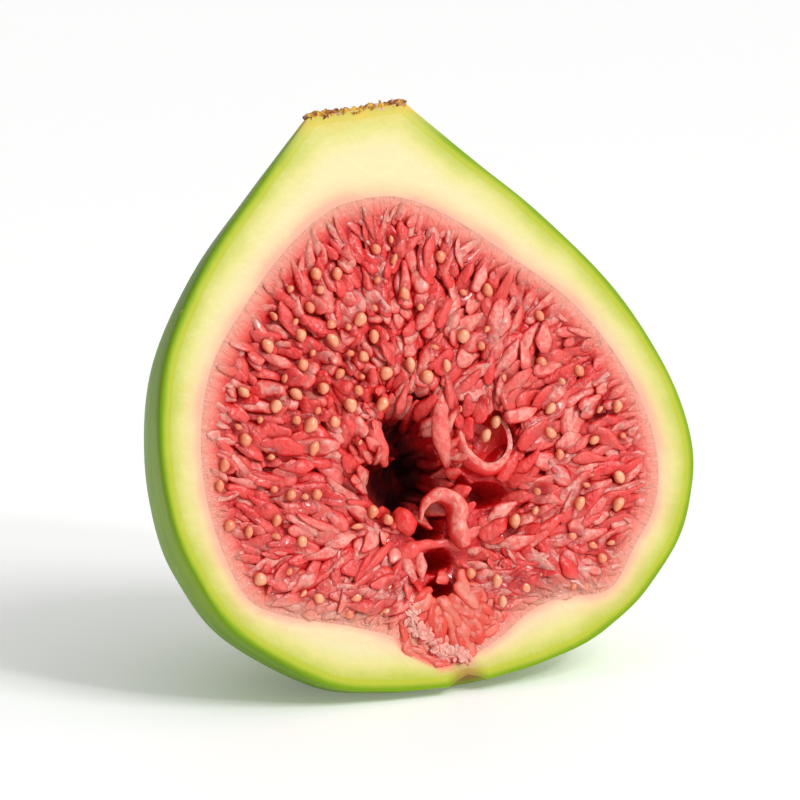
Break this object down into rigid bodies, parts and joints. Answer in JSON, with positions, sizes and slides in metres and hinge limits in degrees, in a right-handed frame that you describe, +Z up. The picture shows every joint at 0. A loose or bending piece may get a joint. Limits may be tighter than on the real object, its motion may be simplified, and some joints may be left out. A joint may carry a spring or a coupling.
{
  "type": "fresh fig",
  "caption": "Half of a fresh green fig, cut from stem to eye: thin green skin, cream wall and a hollow-hearted red pulp of florets and golden seeds. It stands on its base, cut face forward.",
  "frame": {"origin": "in the flat spot under the base that the half stands on", "axes": "+Z up, towards the stem scar; -Y the way the cut face looks, leaning back a little; +X to the right of someone who looks at the cut face"},
  "size_m": [0.0547, 0.0335, 0.0546],
  "materials": {
    "skin": "satin, thin green fruit skin",
    "pith": "matt, moist cream flesh",
    "pulp": "wet, red flesh",
    "stem_scar": "dry, rough"
  },
  "bodies": {
    "root": {"skin": "skin", "pith": "pith", "pulp": "pulp", "stem_scar": "stem_scar"}
  },
  "joints": []
}
